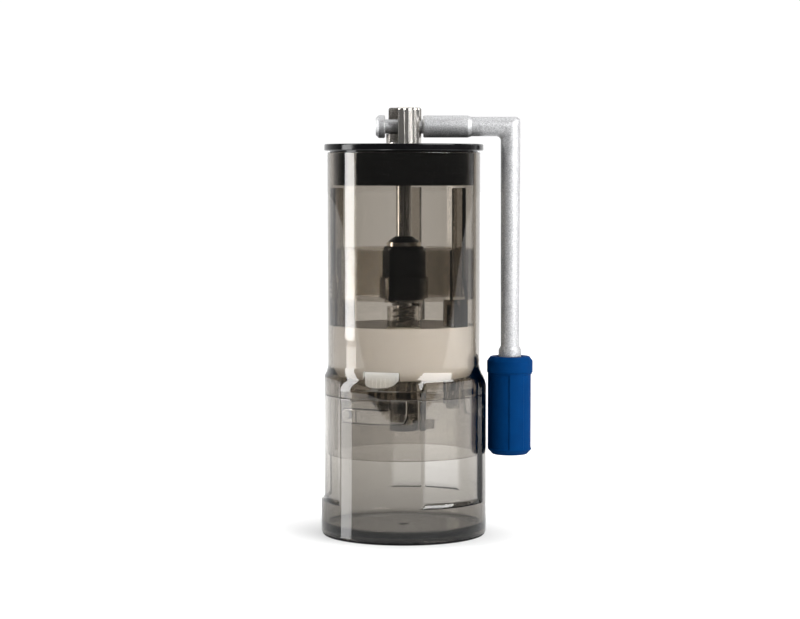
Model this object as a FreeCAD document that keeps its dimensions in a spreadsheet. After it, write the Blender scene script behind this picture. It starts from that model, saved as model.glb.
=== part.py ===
"""Hand-cranked burr grinder with a clear twist-off grounds jar and a fold-down crank.

The frame: +Z up, the origin at the centre of the flat underside, the crank arm along +X at rest.
An azimuth is counted from the front (-Y) towards +X, in degrees.
"""
import FreeCAD, Part
import os
import re
import Sketcher

DIMENSIONS = {
    # the foot and the grounds jar
    "foot_radius": 34.6, "foot_height": 2.7, "foot_chamfer": 0.4, "foot_rim_radius": 36.7,
    "foot_rim_height": 0.9, "foot_button_radius": 2.0,
    "jar_radius": 37.2, "jar_bore": 34.9, "jar_foot_height": 0.95, "jar_ceiling": 2.8,
    "jar_floor": 4.2, "jar_rim": 63.6, "jar_edge": 0.7, "jar_corner": 2.4, "gate_radius": 2.4,
    "gate_height": 0.4, "scoop_radius": 35.85, "scoop_low": 15.6, "scoop_high": 18.8,
    "scoop_sweep": 51, "scoop_azimuth": 41, "scoop_flank": 2.6, "scoop_flank_lean": 52,
    # the bayonet: slots in the jar, lugs on the body
    "slot_floor": 36.1, "slot_low": 53.0, "slot_high": 59.4, "slot_start": -44.8, "slot_end": -3,
    "slot_gate_azimuth": -3.8, "slot_gate_sweep": 12, "slot_gate_low": 56.3,
    "lug_azimuth": -43.5, "lug_radius": 1.8,
    "lug_height": 56.4, "lug_tip": 35.7, "detent_height": 0.25, "detent_width": 0.8,
    "detent_start": 8, "detent_step": 4,
    # the body: skirt, flare and hopper in one moulding
    "skirt_radius": 34.65, "skirt_bore": 32.9, "skirt_low": 36.7, "flare_low": 66.4,
    "flare_high": 77.2, "hopper_radius": 34.3, "hopper_bore": 32.0, "hopper_top": 171.9,
    "bore_step_low": 68.4, "bore_step_high": 70.2, "edge_break": 0.35,
    "rib_azimuth": 50, "rib_inner": 28.9, "rib_width": 5.4, "rib_top": 156.0, "rib_foot_width": 10.0,
    "rib_taper_top": 118.0, "post_radius": 4.4, "post_low": 94.6, "post_top": 106.6,
    "screw_circle": 27.6,
    # the bearing spider and what it carries
    "spider_radius": 31.8, "spider_wall": 1.7, "spider_low": 106.6, "spider_top": 128.9,
    "spider_hub": 11.0, "spider_hub_top": 116.0, "spoke_thick": 2.2, "sleeve_gap": 0.06,
    "notch_width": 10.8,
    "boss_radius": 9.7, "boss_bore": 6.5, "boss_foot_radius": 8.75, "boss_foot_low": 106.0,
    "boss_low": 107.4, "boss_top": 128.2, "cap_radius": 9.0, "cap_top": 129.9, "cap_bore": 4.3,
    "bushing_bore": 3.54, "bushing_length": 9.0, "seat_thick": 1.4, "seat_bore": 3.9,
    # the shaft and what turns with it
    "journal_radius": 3.5, "journal_low": 92.0, "cone_top": 134.3, "journal_top": 157.5,
    "shaft_top": 175.0,
    "shaft_hex": 4.04, "drive_hex": 3.46, "shaft_tip_radius": 3.0, "shaft_tip_top": 65.4,
    "ball_radius": 2.5, "washer_radius": 7.75, "washer_thick": 1.8, "cone_radius": 6.8,
    "cone_tip": 3.95, "cup_radius": 7.6, "cup_wall": 1.1, "cup_top": 102.8, "hub_top": 93.6,
    "hub_flange": 7.6, "hub_flange_thick": 1.4, "hub_radius": 6.0, "hub_foot": 6.6,
    "hub_low": 64.9, "wire_radius": 0.6, "coil_radius": 4.75, "coil_pitch": 2.65,
    "burr_low": 75.8, "burr_top": 90.8, "burr_wide": 15.9, "burr_narrow": 9.0, "burr_skirt": 2.4,
    "flute_side": 1.5, "flute_inset": 0.3, "flute_twist": 14, "ring_tooth_side": 1.3,
    "ring_tooth_inset": 0.55,
    # the burr housing, the ring burr and the bridge that closes it from below
    "housing_radius": 31.6, "housing_low": 70.9, "housing_top": 94.6, "housing_mouth": 30.2,
    "throat_radius": 18.8, "throat_low": 88.2, "throat_top": 89.2, "seat_radius": 20.7,
    "ring_burr_radius": 20.5, "ring_burr_low": 76.2, "ring_burr_throat": 18.4,
    "ring_burr_gap": 17.0, "retainer_bore": 18.4, "retainer_thick": 0.8,
    "bridge_bore": 29.6, "bridge_low": 64.0, "bridge_top": 66.8, "arm_width": 4.6,
    "arm_low": 60.9, "arm_top": 64.4, "bridge_hub": 7.4, "sleeve_radius": 5.0, "sleeve_low": 54.9,
    "sleeve_bore": 3.06, "pad_radius": 4.2,
    "screw_radius": 1.5, "screw_head_radius": 2.9, "screw_head": 2.2, "screw_top": 104.5,
    # the grind adjuster and the clamp knob
    "adjuster_radius": 6.5, "adjuster_bore": 5.06, "adjuster_low": 47.0, "adjuster_floor": 49.6,
    "adjuster_top": 59.2, "lever_reach": 11.6, "lever_width": 5.0, "lever_low": 47.6,
    "lever_top": 51.6, "lever_azimuth": 100, "grip_groove": 0.5,
    "knob_radius": 7.35, "knob_low": 67.7, "knob_top": 74.9, "knob_edge": 1.6, "knob_rib_top": 71.4,
    "knob_rib": 0.42, "knob_circle": 23.4, "knob_azimuth": -24, "knob_gap": 0.45,
    "stem_radius": 1.65, "stem_low": 58.4, "stem_top": 71.7, "knob_pad_radius": 4.4,
    "stem_nut_radius": 3.3, "stem_nut_low": 59.0,
    # the lid
    "lid_radius": 35.7, "lid_low": 172.6, "lid_top": 175.6, "lid_edge": 0.6, "lid_step": 33.2,
    "plug_radius": 31.7, "plug_low": 157.2, "plug_wall": 2.1, "lid_skin": 2.6, "lid_boss": 10.4,
    "lid_boss_low": 161.2, "lid_bush_bore": 6.05, "lid_bush_radius": 7.2, "web_thick": 1.6,
    "web_low": 165.0,
    # the crank head
    "head_radius": 7.9, "head_top": 192.0, "head_edge": 1.1, "shank_radius": 6.0,
    "shank_low": 158.9, "clip_low": 159.7, "clip_thick": 0.9, "clip_root": 5.3, "clip_radius": 8.2,
    "socket_hex": 4.14, "socket_top": 177.4, "crank_axis": 183.5, "cross_bore": 3.25,
    "window_right": -2.6, "window_back": 3.7, "window_low": 180.1,
    # the crank arm
    "neck_radius": 3.2, "neck_left": -9.0, "barrel_left": 8.7, "barrel_radius": 4.95,
    "barrel_right": 28.7, "taper_right": 30.4, "tube_radius": 4.35, "leg_radius": 4.4,
    "leg_offset": 47.9, "leg_low": 84.3, "collar_radius": 5.15, "collar_low": 79.9,
    "collar_cone": 1.3, "arm_edge": 0.45,
    "cap_left": -12.5, "cap_right": -8.4, "cap_flange": 5.15, "cap_flange_edge": 1.3,
    "cap_screw_radius": 1.5, "cap_screw_head": 2.6, "cap_screw_tip": -3.0, "cap_recess": 1.4,
    # the grip
    "grip_radius": 9.95, "grip_low": 35.9, "grip_band_low": 73.0, "grip_top": 80.2,
    "band_radius": 10.3, "band_edge": 2.0, "grip_edge": 2.2, "grip_bore": 6.0,
    "mouth_depth": 1.0, "core_bore": 2.56, "spindle_radius": 2.5, "spindle_low": 39.4,
    "core_low": 39.8, "grip_floor": 37.6, "panel_low": 38.6, "panel_top": 72.2,
    "panel_depth": 0.45, "panel_sweep": 78, "panel_azimuth": -43.5, "grip_screw_head": 4.4,
    "grip_screw_shank": 1.25, "grip_screw_length": 9.0, "grip_plug_radius": 6.6,
}
THIRDS = (0, 120, 240)
RING_TEETH, CONE_FLUTES, KNOB_RIBS, ADJUSTER_RIBS, LID_WEBS = 36, 24, 24, 12, 6

EDGE_ON = FreeCAD.Rotation(FreeCAD.Vector(0, 0, 1), -45)

doc = FreeCAD.newDocument("HandGrinder")
sheet = doc.addObject("Spreadsheet::Sheet", "Sizes")
for row, (alias, size) in enumerate(DIMENSIONS.items(), start=1):
    sheet.set(f"A{row}", alias)
    sheet.set(f"B{row}", str(size))
    sheet.setAlias(f"B{row}", alias)
doc.recompute()
nodes = {}


def bound(text):
    """The text with each size's name pointing at its cell."""
    return re.sub(r"[a-z_]+", lambda found: "Sizes." + found.group()
                  if found.group() in DIMENSIONS else found.group(), text)


def number(text):
    """What a text in size names comes to, in millimetres or degrees."""
    return float(sheet.evalExpression(bound(str(text))))


def sized(item, **texts):
    """Tie an object's properties to the sheet."""
    for name, text in texts.items():
        item.setExpression(name, bound(text))
    return item


def keep(name, item):
    """Make an object one of the named sub-parts."""
    item.Label = name
    nodes[name] = item
    return item


def at(azimuth=0.0, radius="0", height="0", beside=0.0):
    """A place on a circle about the vertical axis, with local X pointing outwards."""
    turn = FreeCAD.Rotation(FreeCAD.Vector(0, 0, 1), azimuth - 90)
    spot = FreeCAD.Vector(number(radius), beside, 0)
    return FreeCAD.Placement(turn.multVec(spot) + FreeCAD.Vector(0, 0, number(height)), turn)


def rod(name, radius, low, top, place=None):
    """An upright cylinder."""
    item = sized(doc.addObject("Part::Cylinder", name), Radius=radius, Height=f"({top}) - ({low})")
    item.Placement = place or at(90)
    item.Placement.Base.z = number(low)
    return item


def radial_rod(name, radius, inner, outer, azimuth, height):
    """A cylinder that points outwards from the vertical axis."""
    item = sized(doc.addObject("Part::Cylinder", name), Radius=radius, Height=f"({outer}) - ({inner})")
    tip_over = FreeCAD.Placement(FreeCAD.Vector(), FreeCAD.Rotation(FreeCAD.Vector(0, 1, 0), 90))
    item.Placement = at(azimuth, inner, height).multiply(tip_over)
    return item


def hexagon(name, corner, low, top):
    """An upright hexagonal prism, measured to its corners."""
    item = doc.addObject("Part::Prism", name)
    item.Polygon = 6
    sized(item, Circumradius=corner, Height=f"({top}) - ({low})")
    item.Placement.Base.z = number(low)
    return item


def block(name, inner, outer, width, low, top, azimuth):
    """A box that runs outwards from one radius to another."""
    item = sized(doc.addObject("Part::Box", name), Length=f"({outer}) - ({inner})", Width=width,
                 Height=f"({top}) - ({low})")
    item.Placement = at(azimuth, inner, low, beside=-number(width) / 2)
    return item


def joined(name, pieces):
    item = doc.addObject("Part::MultiFuse", name)
    item.Shapes = pieces
    item.Refine = True
    return item


def trimmed(name, base, tools):
    item = doc.addObject("Part::Cut", name)
    item.Base = base
    item.Tool = tools[0] if len(tools) == 1 else joined(name + "_tools", tools)
    return item


def outline_sketch(body, name, outline, azimuth=90):
    """A closed outline of (radius, height) corners in an upright plane through the axis.

    A third entry makes the side that arrives at the corner an arc of that radius, and a fourth
    of -1 bends it the other way.
    """
    sketch = body.newObject("Sketcher::SketchObject", name)
    plane = next(item for item in body.Origin.OriginFeatures if item.Role == "XZ_Plane")
    sketch.AttachmentSupport = [(plane, "")]
    sketch.MapMode = "FlatFace"
    turn = FreeCAD.Rotation(FreeCAD.Vector(0, 1, 0), azimuth - 90)
    sketch.AttachmentOffset = FreeCAD.Placement(FreeCAD.Vector(), turn)
    spots = [FreeCAD.Vector(number(corner[0]), number(corner[1]), 0) for corner in outline]
    count = len(outline)
    for index in range(count):
        start, end = spots[index], spots[(index + 1) % count]
        arrival = outline[(index + 1) % count]
        if len(arrival) > 2:
            chord = end - start
            radius = number(arrival[2])
            side = arrival[3] if len(arrival) > 3 else 1
            rise = radius - (radius ** 2 - (chord.Length / 2) ** 2) ** 0.5
            square = FreeCAD.Vector(chord.y, -chord.x, 0).normalize()
            middle = (start + end) * 0.5 + square * (rise * side)
            sketch.addGeometry(Part.Arc(start, middle, end))
            forward = sketch.getPoint(index, 1).distanceToPoint(start) < 0.001
            sketch.addConstraint(Sketcher.Constraint("Radius", index, radius))
            sketch.setExpression(f"Constraints[{sketch.ConstraintCount - 1}]", bound(arrival[2]))
            ends = (1, 2) if forward else (2, 1)
        else:
            sketch.addGeometry(Part.LineSegment(start, end))
            ends = (1, 2)
        for axis, spot, text in (("X", start.x, outline[index][0]), ("Y", start.y, outline[index][1])):
            sketch.addConstraint(Sketcher.Constraint(f"Distance{axis}", -1, 1, index, ends[0], spot))
            sketch.setExpression(f"Constraints[{sketch.ConstraintCount - 1}]", bound(str(text)))
        for axis, spot, text in (("X", end.x, arrival[0]), ("Y", end.y, arrival[1])):
            sketch.addConstraint(Sketcher.Constraint(f"Distance{axis}", -1, 1, index, ends[1], spot))
            sketch.setExpression(f"Constraints[{sketch.ConstraintCount - 1}]", bound(str(text)))
    return sketch


def spun(body, kind, name, outline, azimuth=90, sweep="360"):
    """Add or cut away an outline spun about the vertical axis, centred on an azimuth."""
    sketch = outline_sketch(body, name + "_outline", outline, azimuth)
    feature = body.newObject("PartDesign::" + kind, name)
    feature.Profile = sketch
    feature.ReferenceAxis = (sketch, ["V_Axis"])
    feature.Midplane = True
    feature.setExpression("Angle", bound(sweep))
    return feature


def turned(name, outline):
    """A round piece as a body of its own."""
    body = doc.addObject("PartDesign::Body", name)
    spun(body, "Revolution", name + "_turning", outline)
    return body


def ring(name, bore, radius, low, top):
    return turned(name, [(bore, low), (radius, low), (radius, top), (bore, top)])


def scooped(name, low_outline, top):
    """Tools that shave the slanted flanks of the three finger scoops."""
    tools = []
    for index, third in enumerate(THIRDS):
        for side in (-1, 1):
            azimuth = number("scoop_azimuth") + third + side * number("scoop_sweep") / 2
            tool = sized(doc.addObject("Part::Box", f"{name}_flank_{index}_{side + 1}"),
                         Length="jar_radius - scoop_radius + scoop_flank", Width="scoop_flank",
                         Height=f"({top}) - ({low_outline})")
            lean = FreeCAD.Rotation(FreeCAD.Vector(0, 0, 1), side * number("scoop_flank_lean"))
            across = -number("scoop_flank") if side > 0 else 0.0
            tool.Placement = at(azimuth, "scoop_radius", low_outline).multiply(
                FreeCAD.Placement(lean.multVec(FreeCAD.Vector(0, across, 0)), lean))
            tools.append(tool)
    return tools


def scoop_grooves(body, name, ledge_low, ledge_high, top):
    """Three shallow finger scoops, each with a sloping ledge at its foot."""
    for index, third in enumerate(THIRDS):
        spun(body, "Groove", f"{name}_{index}",
             [("scoop_radius", ledge_high), ("jar_radius + 1", ledge_low), ("jar_radius + 1", top),
              ("scoop_radius", top)],
             azimuth=number("scoop_azimuth") + third, sweep="scoop_sweep")


def make_foot():
    keep("base_pad", turned("base_pad", [
        ("0", "0"), ("foot_rim_radius - foot_chamfer", "0"), ("foot_rim_radius", "foot_chamfer"),
        ("foot_rim_radius", "foot_rim_height"), ("foot_radius", "foot_rim_height"),
        ("foot_radius", "foot_height"), ("foot_button_radius", "foot_height"),
        ("foot_button_radius", "jar_ceiling"), ("0", "jar_ceiling")]))


def make_jar():
    body = turned("jar_shell", [
        ("0", "jar_floor + gate_height"), ("gate_radius", "jar_floor + gate_height"),
        ("gate_radius + gate_height", "jar_floor"), ("jar_bore - jar_corner", "jar_floor"),
        ("jar_bore", "jar_floor + jar_corner", "jar_corner"), ("jar_bore", "jar_rim - edge_break"),
        ("jar_bore + edge_break", "jar_rim"), ("jar_radius - edge_break", "jar_rim"),
        ("jar_radius", "jar_rim - edge_break"), ("jar_radius", "jar_foot_height + jar_edge"),
        ("jar_radius - jar_edge", "jar_foot_height", "jar_edge", -1),
        ("foot_radius + 0.1", "jar_foot_height"), ("foot_radius + 0.1", "jar_ceiling"),
        ("0", "jar_ceiling")])
    slope = "(scoop_high - scoop_low) / (jar_radius - scoop_radius)"
    scoop_grooves(body, "jar_scoop", f"scoop_low - {slope}", "scoop_high", "jar_rim + 1")
    for index, third in enumerate(THIRDS):
        middle = number("(slot_start + slot_end) / 2") + third
        spun(body, "Groove", f"slot_{index}",
             [("jar_bore - 1", "slot_low"), ("slot_floor", "slot_low"), ("slot_floor", "slot_high"),
              ("jar_bore - 1", "slot_high")], azimuth=middle, sweep="slot_end - slot_start")
        spun(body, "Groove", f"slot_gate_{index}",
             [("jar_bore - 1", "slot_gate_low"), ("slot_floor", "slot_gate_low"),
              ("slot_floor", "jar_rim + 1"), ("jar_bore - 1", "jar_rim + 1")],
             azimuth=number("slot_gate_azimuth") + third, sweep="slot_gate_sweep")
    tools = scooped("jar", "scoop_high - 1", "jar_rim + 1")
    slot_round = "(slot_high - slot_low) / 2"
    detents = []
    for index, third in enumerate(THIRDS):
        for side, edge in enumerate(("slot_start", "slot_end")):
            tools.append(radial_rod(f"slot_round_{index}_{side}", slot_round, "jar_bore - 1",
                                    "slot_floor", number(edge) + third, "(slot_high + slot_low) / 2"))
        for side in (0, 1):
            detents.append(block(f"detent_{index}_{side}", "slot_floor - detent_height",
                                 "slot_floor + 0.3", "detent_width", "slot_low - 0.2",
                                 "slot_high + 0.2",
                                 number(f"lug_azimuth + detent_start + {side} * detent_step")
                                 + third))
    keep("jar", joined("jar_whole", [trimmed("jar_cut", body, tools)] + detents))


def make_body():
    bend = "(((jar_radius - hopper_radius) / 2)^2 + ((flare_high - flare_low) / 2)^2)" \
           " / (jar_radius - hopper_radius)"
    body = turned("body_shell", [
        ("skirt_bore", "skirt_low"), ("skirt_radius - edge_break", "skirt_low"),
        ("skirt_radius", "skirt_low + edge_break"), ("skirt_radius", "jar_rim"),
        ("jar_radius - edge_break", "jar_rim"), ("jar_radius", "jar_rim + edge_break"),
        ("jar_radius", "flare_low"),
        ("(jar_radius + hopper_radius) / 2", "(flare_low + flare_high) / 2", bend),
        ("hopper_radius", "flare_high", bend, -1),
        ("hopper_radius", "hopper_top - edge_break"), ("hopper_radius - edge_break", "hopper_top"),
        ("hopper_bore + edge_break", "hopper_top"), ("hopper_bore", "hopper_top - edge_break"),
        ("hopper_bore", "bore_step_high"), ("skirt_bore", "bore_step_low")])
    scoop_grooves(body, "body_scoop", "jar_rim - 1", "jar_rim - 1", "flare_high")
    pieces = [trimmed("body_cut", body, scooped("body", "jar_rim - 1", "flare_high"))]
    for index, third in enumerate(THIRDS):
        azimuth = number("rib_azimuth") + third
        pieces.append(radial_rod(f"lug_{index}", "lug_radius", "skirt_bore + 0.6", "lug_tip",
                                 number("lug_azimuth") + third, "lug_height"))
        pieces.append(block(f"rib_{index}", "rib_inner", "hopper_bore + 0.6", "rib_width",
                            "post_low", "rib_top", azimuth))
        pieces.append(rib_foot(f"rib_foot_{index}", azimuth))
        pieces.append(rod(f"post_{index}", "post_radius", "post_low", "post_top",
                          at(azimuth, "screw_circle")))
    holes = [rod(f"pilot_{index}", "screw_radius", "post_low - 1", "screw_top + 0.3",
                 at(number("rib_azimuth") + third, "screw_circle"))
             for index, third in enumerate(THIRDS)]
    keep("upper_body", trimmed("body_drilled", joined("body_whole", pieces), holes))


def rib_foot(name, azimuth):
    """The part of a hopper rib that widens downwards."""
    item = doc.addObject("Part::Wedge", name)
    sized(item, Xmin="0", Xmax="hopper_bore + 0.4 - rib_inner", X2min="0",
          X2max="hopper_bore + 0.4 - rib_inner", Ymin="0", Ymax="rib_taper_top - post_top",
          Zmin="-rib_foot_width / 2", Zmax="rib_foot_width / 2", Z2min="-rib_width / 2",
          Z2max="rib_width / 2")
    stand_up = FreeCAD.Placement(FreeCAD.Vector(), FreeCAD.Rotation(FreeCAD.Vector(1, 0, 0), 90))
    item.Placement = at(azimuth, "rib_inner", "post_top").multiply(stand_up)
    return item


def make_spider():
    pieces = [ring("spider_ring", "spider_radius - spider_wall", "spider_radius", "spider_low",
                   "spider_top"),
              turned("spider_sleeve", [
                  ("boss_foot_radius + sleeve_gap", "spider_low"), ("spider_hub", "spider_low"),
                  ("spider_hub", "spider_hub_top"), ("boss_radius + sleeve_gap", "spider_hub_top"),
                  ("boss_radius + sleeve_gap", "boss_low"),
                  ("boss_foot_radius + sleeve_gap", "boss_low")])]
    notches = []
    for index, third in enumerate(THIRDS):
        pieces.append(block(f"spoke_{index}", "boss_radius + 0.5", "spider_radius - 0.6",
                            "spoke_thick", "spider_low", "spider_top",
                            number("rib_azimuth") + 60 + third))
        notches.append(block(f"notch_{index}", "rib_inner - 1", "spider_radius + 1", "notch_width",
                             "spider_low - 1", "spider_top + 1", number("rib_azimuth") + third))
    keep("bearing_spider", trimmed("spider_cut", joined("spider_whole", pieces), notches))
    keep("bearing_boss", turned("bearing_boss", [
        ("boss_bore", "boss_foot_low"), ("boss_foot_radius", "boss_foot_low"),
        ("boss_foot_radius", "boss_low"), ("boss_radius", "boss_low"),
        ("boss_radius", "boss_top - edge_break"), ("boss_radius - edge_break", "boss_top"),
        ("boss_bore", "boss_top")]))
    keep("bearing_cap", turned("bearing_cap", [
        ("cap_bore", "boss_top"), ("cap_radius", "boss_top"), ("cap_radius", "cap_top - edge_break"),
        ("cap_radius - edge_break", "cap_top"), ("cap_bore", "cap_top")]))
    keep("upper_bushing", ring("upper_bushing", "bushing_bore", "boss_bore",
                               "boss_top - bushing_length", "boss_top"))
    keep("lower_bushing", ring("lower_bushing", "bushing_bore", "boss_bore", "boss_foot_low",
                               "boss_foot_low + bushing_length"))
    keep("spring_seat", ring("spring_seat", "seat_bore", "boss_foot_radius",
                             "boss_foot_low - seat_thick", "boss_foot_low"))


def make_shaft():
    ball_top = "adjuster_floor + 2 * ball_radius"
    keep("drive_shaft", joined("shaft_whole", [
        rod("shaft_tip", "shaft_tip_radius", ball_top, "shaft_tip_top + 1"),
        hexagon("shaft_drive", "drive_hex", "shaft_tip_top", "journal_low + 1"),
        rod("shaft_journal", "journal_radius", "journal_low", "journal_top"),
        hexagon("shaft_head", "shaft_hex", "journal_top", "shaft_top")]))
    keep("thrust_washer", ring("thrust_washer", "journal_radius", "washer_radius", "cap_top",
                               "cap_top + washer_thick"))
    keep("shaft_cone", turned("shaft_cone", [
        ("journal_radius", "cap_top + washer_thick"), ("cone_radius", "cap_top + washer_thick"),
        ("cone_radius", "cap_top + washer_thick + 0.6"), ("cone_tip", "cone_top"),
        ("journal_radius", "cone_top")]))
    keep("spring_cup", turned("spring_cup", [
        ("hub_radius", "hub_top"), ("cup_radius", "hub_top"), ("cup_radius", "cup_top"),
        ("cup_radius - cup_wall", "cup_top"), ("cup_radius - cup_wall", "hub_top + 0.6"),
        ("hub_radius", "hub_top + 0.6")]))
    ball = doc.addObject("Part::Sphere", "thrust_ball")
    sized(ball, Radius="ball_radius")
    ball.Placement.Base.z = number("adjuster_floor + ball_radius")
    keep("thrust_ball", ball)


def make_spring():
    """A round-wire compression spring about the shaft, from the burr hub to its seat."""
    coil = doc.addObject("Part::Helix", "spring_path")
    sized(coil, Radius="coil_radius", Pitch="coil_pitch",
          Height="boss_foot_low - seat_thick - hub_top - 2 * wire_radius - 0.2")
    coil.Placement.Base.z = number("hub_top + wire_radius + 0.1")
    section = doc.addObject("Part::Circle", "spring_wire")
    sized(section, Radius="wire_radius")
    section.Placement = FreeCAD.Placement(
        FreeCAD.Vector(number("coil_radius"), 0, coil.Placement.Base.z),
        FreeCAD.Rotation(FreeCAD.Vector(1, 0, 0), 90))
    spring = doc.addObject("Part::Sweep", "spring_sweep")
    spring.Sections = [section]
    spring.Spine = (coil, [])
    spring.Solid = True
    spring.Frenet = True
    keep("compression_spring", spring)


def make_housing():
    body = turned("housing_turning", [
        ("seat_radius", "housing_low"), ("housing_radius - edge_break", "housing_low"),
        ("housing_radius", "housing_low + edge_break"), ("housing_radius", "housing_top"),
        ("housing_mouth", "housing_top"), ("throat_radius", "throat_top"),
        ("throat_radius", "throat_low"), ("seat_radius", "throat_low")])
    cuts = [rod(f"housing_hole_{index}", "screw_radius + 0.1", "housing_low - 1", "housing_top + 1",
                at(number("rib_azimuth") + third, "screw_circle"))
            for index, third in enumerate(THIRDS)]
    cuts.append(rod("knob_pocket", "knob_radius + knob_gap", "housing_low - 1", "knob_top + knob_gap",
                    at(number("knob_azimuth"), "knob_circle")))
    window = sized(doc.addObject("Part::Box", "knob_window"), Length="2 * (knob_radius + knob_gap)",
                   Width="knob_circle", Height="knob_top + knob_gap - housing_low + 1")
    middle = at(number("knob_azimuth"), "knob_circle").Base
    window.Placement.Base = FreeCAD.Vector(middle.x - number("knob_radius + knob_gap"),
                                           middle.y - number("knob_circle"),
                                           number("housing_low - 1"))
    cuts.append(window)
    keep("burr_housing", trimmed("housing_cut", body, cuts))


def make_burrs():
    ring_body = turned("ring_burr_turning", [
        ("ring_burr_gap", "ring_burr_low"), ("ring_burr_radius", "ring_burr_low"),
        ("ring_burr_radius", "throat_low"), ("ring_burr_throat", "throat_low"),
        ("ring_burr_gap", "ring_burr_low + burr_skirt")])
    teeth = [ring_tooth(index) for index in range(RING_TEETH)]
    keep("outer_burr", trimmed("ring_burr_cut", ring_body, teeth))
    keep("burr_retainer", ring("burr_retainer", "retainer_bore", "ring_burr_radius",
                               "ring_burr_low - retainer_thick", "ring_burr_low"))
    cone = turned("cone_burr_turning", [
        ("hub_radius", "burr_low"), ("burr_wide", "burr_low"), ("burr_wide", "burr_low + burr_skirt"),
        ("burr_narrow", "burr_top"), ("hub_radius", "burr_top")])
    rise, run = number("burr_top - burr_low - burr_skirt"), number("burr_wide - burr_narrow")
    slope = FreeCAD.Rotation(FreeCAD.Vector(0, 0, 1), FreeCAD.Vector(-run, 0, rise))
    twist = FreeCAD.Rotation(FreeCAD.Vector(1, 0, 0), number("flute_twist"))
    flutes = []
    for index in range(CONE_FLUTES):
        flute = sized(doc.addObject("Part::Box", f"flute_{index}"), Length="flute_side",
                      Width="flute_side", Height="burr_top - burr_low + 6")
        flute.Placement = at(360 / CONE_FLUTES * index, "burr_wide - flute_inset", "burr_low - 1")
        flute.Placement.Rotation = flute.Placement.Rotation * twist * slope * EDGE_ON
        flutes.append(flute)
    keep("inner_burr", trimmed("cone_burr_cut", cone, flutes))
    hub = turned("burr_hub_turning", [
        ("0", "hub_low"), ("hub_foot", "hub_low"), ("hub_foot", "burr_low - 1.4"),
        ("hub_foot + 3", "burr_low - 1.4"), ("hub_foot + 3", "burr_low"), ("hub_radius", "burr_low"),
        ("hub_radius", "hub_top - hub_flange_thick - 1"),
        ("hub_flange", "hub_top - hub_flange_thick"), ("hub_flange", "hub_top"), ("0", "hub_top")])
    bores = [hexagon("hub_bore", "drive_hex + 0.05", "hub_low - 1", "journal_low"),
             rod("hub_counterbore", "journal_radius + 0.05", "journal_low", "hub_top + 1")]
    keep("burr_hub", trimmed("burr_hub_cut", hub, bores))


def ring_tooth(index):
    """A square bar on edge that cuts one gap between the ring burr's teeth."""
    item = sized(doc.addObject("Part::Box", f"ring_tooth_{index}"), Length="ring_tooth_side",
                 Width="ring_tooth_side", Height="throat_low - ring_burr_low + 2")
    item.Placement = at(360 / RING_TEETH * index, "ring_burr_gap - ring_tooth_inset",
                        "ring_burr_low - 1")
    item.Placement.Rotation = item.Placement.Rotation * EDGE_ON
    return item


def make_bridge():
    pieces = [ring("bridge_ring", "bridge_bore", "housing_radius", "bridge_low", "bridge_top"),
              rod("bridge_hub", "bridge_hub", "arm_low", "arm_top"),
              rod("bridge_sleeve", "sleeve_radius", "sleeve_low", "arm_low + 1"),
              rod("knob_pad", "knob_pad_radius", "arm_low", "bridge_top",
                  at(number("knob_azimuth"), "knob_circle")),
              block("knob_pad_root", "knob_circle", "bridge_bore + 1", "arm_width + 2", "bridge_low",
                    "bridge_top", number("knob_azimuth"))]
    holes = [rod("sleeve_bore", "sleeve_bore", "sleeve_low - 1", "arm_top + 1"),
             rod("stem_hole", "stem_radius + 0.06", "arm_low - 1", "bridge_top + 1",
                 at(number("knob_azimuth"), "knob_circle"))]
    screws = []
    for index, third in enumerate(THIRDS):
        azimuth = number("rib_azimuth") + third
        spot = at(azimuth, "screw_circle")
        pieces.append(block(f"bridge_arm_{index}", "sleeve_radius", "bridge_bore + 1", "arm_width",
                            "arm_low", "arm_top", azimuth))
        pieces.append(rod(f"screw_pad_{index}", "pad_radius", "arm_low", "housing_low", spot))
        holes.append(rod(f"bridge_hole_{index}", "screw_radius + 0.1", "arm_low - 1",
                         "housing_low + 1", spot))
        shank = rod(f"screw_shank_{index}", "screw_radius", "arm_low - 0.5", "screw_top", spot)
        head = rod(f"screw_head_{index}", "screw_head_radius", "arm_low - screw_head", "arm_low", spot)
        recess = rod(f"screw_recess_{index}", "screw_radius", "arm_low - screw_head - 1",
                     "arm_low - screw_head + 1", spot)
        screws.append(trimmed(f"screw_{index}", joined(f"screw_whole_{index}", [shank, head]),
                              [recess]))
    keep("lower_bridge", trimmed("bridge_cut", joined("bridge_whole", pieces), holes))
    group = doc.addObject("Part::Compound", "screw_group")
    group.Links = screws
    keep("housing_screws", group)


def make_adjuster():
    body = turned("adjuster_turning", [
        ("0", "adjuster_low"), ("adjuster_radius - edge_break", "adjuster_low"),
        ("adjuster_radius", "adjuster_low + edge_break"), ("adjuster_radius", "adjuster_top"),
        ("adjuster_bore", "adjuster_top"), ("adjuster_bore", "adjuster_floor"),
        ("0", "adjuster_floor")])
    lever = block("adjuster_lever", "adjuster_bore + 0.6", "lever_reach", "lever_width",
                  "lever_low", "lever_top", number("lever_azimuth"))
    tip = rod("lever_tip", "lever_width / 2", "lever_low", "lever_top",
              at(number("lever_azimuth"), "lever_reach"))
    grooves = [rod(f"adjuster_groove_{index}", "grip_groove", "lever_top + 0.8", "adjuster_top + 1",
                   at(360 / ADJUSTER_RIBS * index, "adjuster_radius + 0.1"))
               for index in range(ADJUSTER_RIBS)]
    keep("adjuster", trimmed("adjuster_cut", joined("adjuster_whole", [body, lever, tip]), grooves))


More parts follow.
